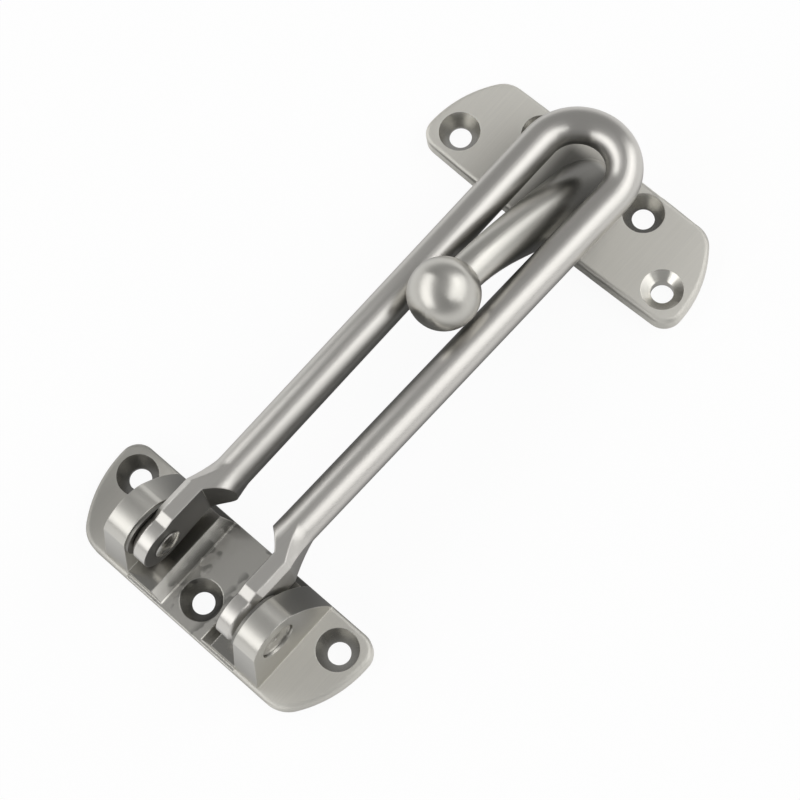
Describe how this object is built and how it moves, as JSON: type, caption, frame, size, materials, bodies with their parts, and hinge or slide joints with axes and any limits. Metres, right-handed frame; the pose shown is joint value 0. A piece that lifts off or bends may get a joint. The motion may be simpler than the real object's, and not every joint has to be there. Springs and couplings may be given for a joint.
{
  "type": "swing bar door guard",
  "caption": "Hinged U-shaped swing bar on a base plate, closed over a ball-ended arm on a strike plate, to let a door open only a little way.",
  "frame": {"origin": "midway between the base's two end screw holes, on the plates' back plane", "axes": "+X along the hinge, +Y from the base towards the strike, +Z out of the plates' faces, away from the door and its frame"},
  "size_m": [0.0712, 0.1413, 0.0323],
  "materials": {
    "satin_nickel_casting": "satin brushed, fine lines across the plates, turned countersinks",
    "satin_nickel_bar": "satin, fine lines along the rod",
    "bright_pin": "semi-bright"
  },
  "bodies": {
    "base": {"hinge_base": "satin_nickel_casting", "right_pivot_pin": "bright_pin", "left_pivot_pin": "bright_pin", "right_washer": "bright_pin", "left_washer": "bright_pin"},
    "bar": {"swing_bar": "satin_nickel_bar"},
    "strike": {"strike": "satin_nickel_casting"}
  },
  "joints": [
    {"name": "bar_swing", "type": "hinge", "parent": "base", "child": "bar", "pos_m": [0, -0.0076, 0.016], "axis": [1, 0, 0], "range_deg": [0, 180]},
    {"name": "ball_slide", "type": "slide", "parent": "bar", "child": "strike", "axis": [0, -0.9994, 0.0342], "range_m": [-0.0085, 0.05]}
  ]
}
